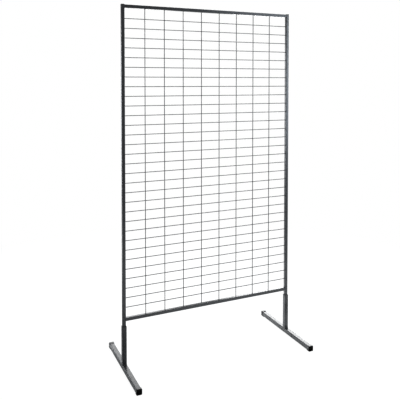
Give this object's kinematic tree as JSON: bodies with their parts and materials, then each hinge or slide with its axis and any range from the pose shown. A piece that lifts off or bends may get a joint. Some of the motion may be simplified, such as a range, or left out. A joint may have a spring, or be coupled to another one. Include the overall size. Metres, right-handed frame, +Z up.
{
  "type": "slatwall panel",
  "caption": "Free-standing display panel: a welded wire grid in a square-tube frame whose uprights drop into two T-shaped floor stands.",
  "frame": {"origin": "on the floor, midway between the two stands and under the panel", "axes": "+Z up, +X along the panel to the right as seen from the front, -Y towards the front, the side of the row wires"},
  "size_m": [1.0286, 0.5106, 1.9],
  "materials": {
    "powder_coat": "semi-gloss anthracite powder coat with a fine orange-peel",
    "wire_coat": "semi-gloss anthracite powder coat on round wire",
    "black_plastic": "black moulded polyethylene, fine matt grain"
  },
  "bodies": {
    "stand_left": {"foot_tube_left": "powder_coat", "sleeve_left": "powder_coat", "sleeve_bush_left": "black_plastic", "foot_cap_left_front": "black_plastic", "foot_cap_left_back": "black_plastic"},
    "panel": {"upright_left": "powder_coat", "upright_right": "powder_coat", "top_rail": "powder_coat", "bottom_rail": "powder_coat", "row_wire_01": "wire_coat", "row_wire_02": "wire_coat", "row_wire_03": "wire_coat", "row_wire_04": "wire_coat", "row_wire_05": "wire_coat", "row_wire_06": "wire_coat", "row_wire_07": "wire_coat", "row_wire_08": "wire_coat", "row_wire_09": "wire_coat", "row_wire_10": "wire_coat", "row_wire_11": "wire_coat", "row_wire_12": "wire_coat", "row_wire_13": "wire_coat", "row_wire_14": "wire_coat", "row_wire_15": "wire_coat", "row_wire_16": "wire_coat", "row_wire_17": "wire_coat", "row_wire_18": "wire_coat", "row_wire_19": "wire_coat", "row_wire_20": "wire_coat", "row_wire_21": "wire_coat", "row_wire_22": "wire_coat", "row_wire_23": "wire_coat", "row_wire_24": "wire_coat", "row_wire_25": "wire_coat", "row_wire_26": "wire_coat", "row_wire_27": "wire_coat", "row_wire_28": "wire_coat", "row_wire_29": "wire_coat", "row_wire_30": "wire_coat", "row_wire_31": "wire_coat", "column_wire_1": "wire_coat", "column_wire_2": "wire_coat", "column_wire_3": "wire_coat", "column_wire_4": "wire_coat", "column_wire_5": "wire_coat", "column_wire_6": "wire_coat", "column_wire_7": "wire_coat", "column_wire_8": "wire_coat", "upright_cap_left": "black_plastic", "upright_cap_right": "black_plastic"},
    "stand_right": {"foot_tube_right": "powder_coat", "sleeve_right": "powder_coat", "sleeve_bush_right": "black_plastic", "foot_cap_right_front": "black_plastic", "foot_cap_right_back": "black_plastic"}
  },
  "joints": [
    {"name": "panel_lift", "type": "slide", "parent": "stand_left", "child": "panel", "axis": [0, 0, 1], "range_m": [0, 0.22]},
    {"name": "stand_right_release", "type": "slide", "parent": "panel", "child": "stand_right", "axis": [0, 0, -1], "range_m": [0, 0.22]}
  ],
  "couplings": [
    {"joint": "stand_right_release", "follows": "panel_lift", "ratio": 1}
  ]
}
